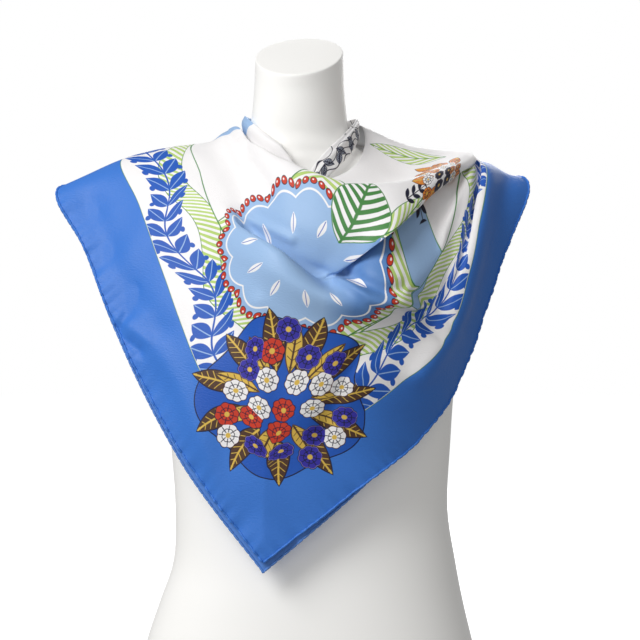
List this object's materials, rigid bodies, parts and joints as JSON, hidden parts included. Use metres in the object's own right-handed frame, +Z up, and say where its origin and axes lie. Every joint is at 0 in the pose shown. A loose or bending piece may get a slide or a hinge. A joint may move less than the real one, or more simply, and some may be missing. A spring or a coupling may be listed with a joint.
{
  "type": "silk square scarf on a limbless dress form",
  "caption": "Square silk scarf folded to a triangle and worn point down with cowl folds, its ends wound round the neck, on a headless, limbless dress form.",
  "frame": {"origin": "middle of the dress form's flat base, on the surface it stands on", "axes": "+Z up along the form, the scarf's front faces -Y, +X towards the viewer's right"},
  "size_m": [0.5042, 0.2788, 0.7252],
  "materials": {
    "form_shell": "smooth satin white shell",
    "printed_silk": "printed silk twill, soft sheen, plain blue border",
    "border_silk": "plain blue silk twill, soft sheen",
    "pale_silk": "white silk twill with a light-blue end, soft sheen",
    "figured_silk": "white silk twill with a grey leaf print, soft sheen",
    "knot_silk": "light-blue silk twill, soft sheen"
  },
  "bodies": {
    "root": {"dress_form": "form_shell", "outer_layer": "printed_silk", "under_layer": "border_silk", "left_tail": "pale_silk", "right_tail": "figured_silk", "nape_knot": "knot_silk"}
  },
  "joints": []
}
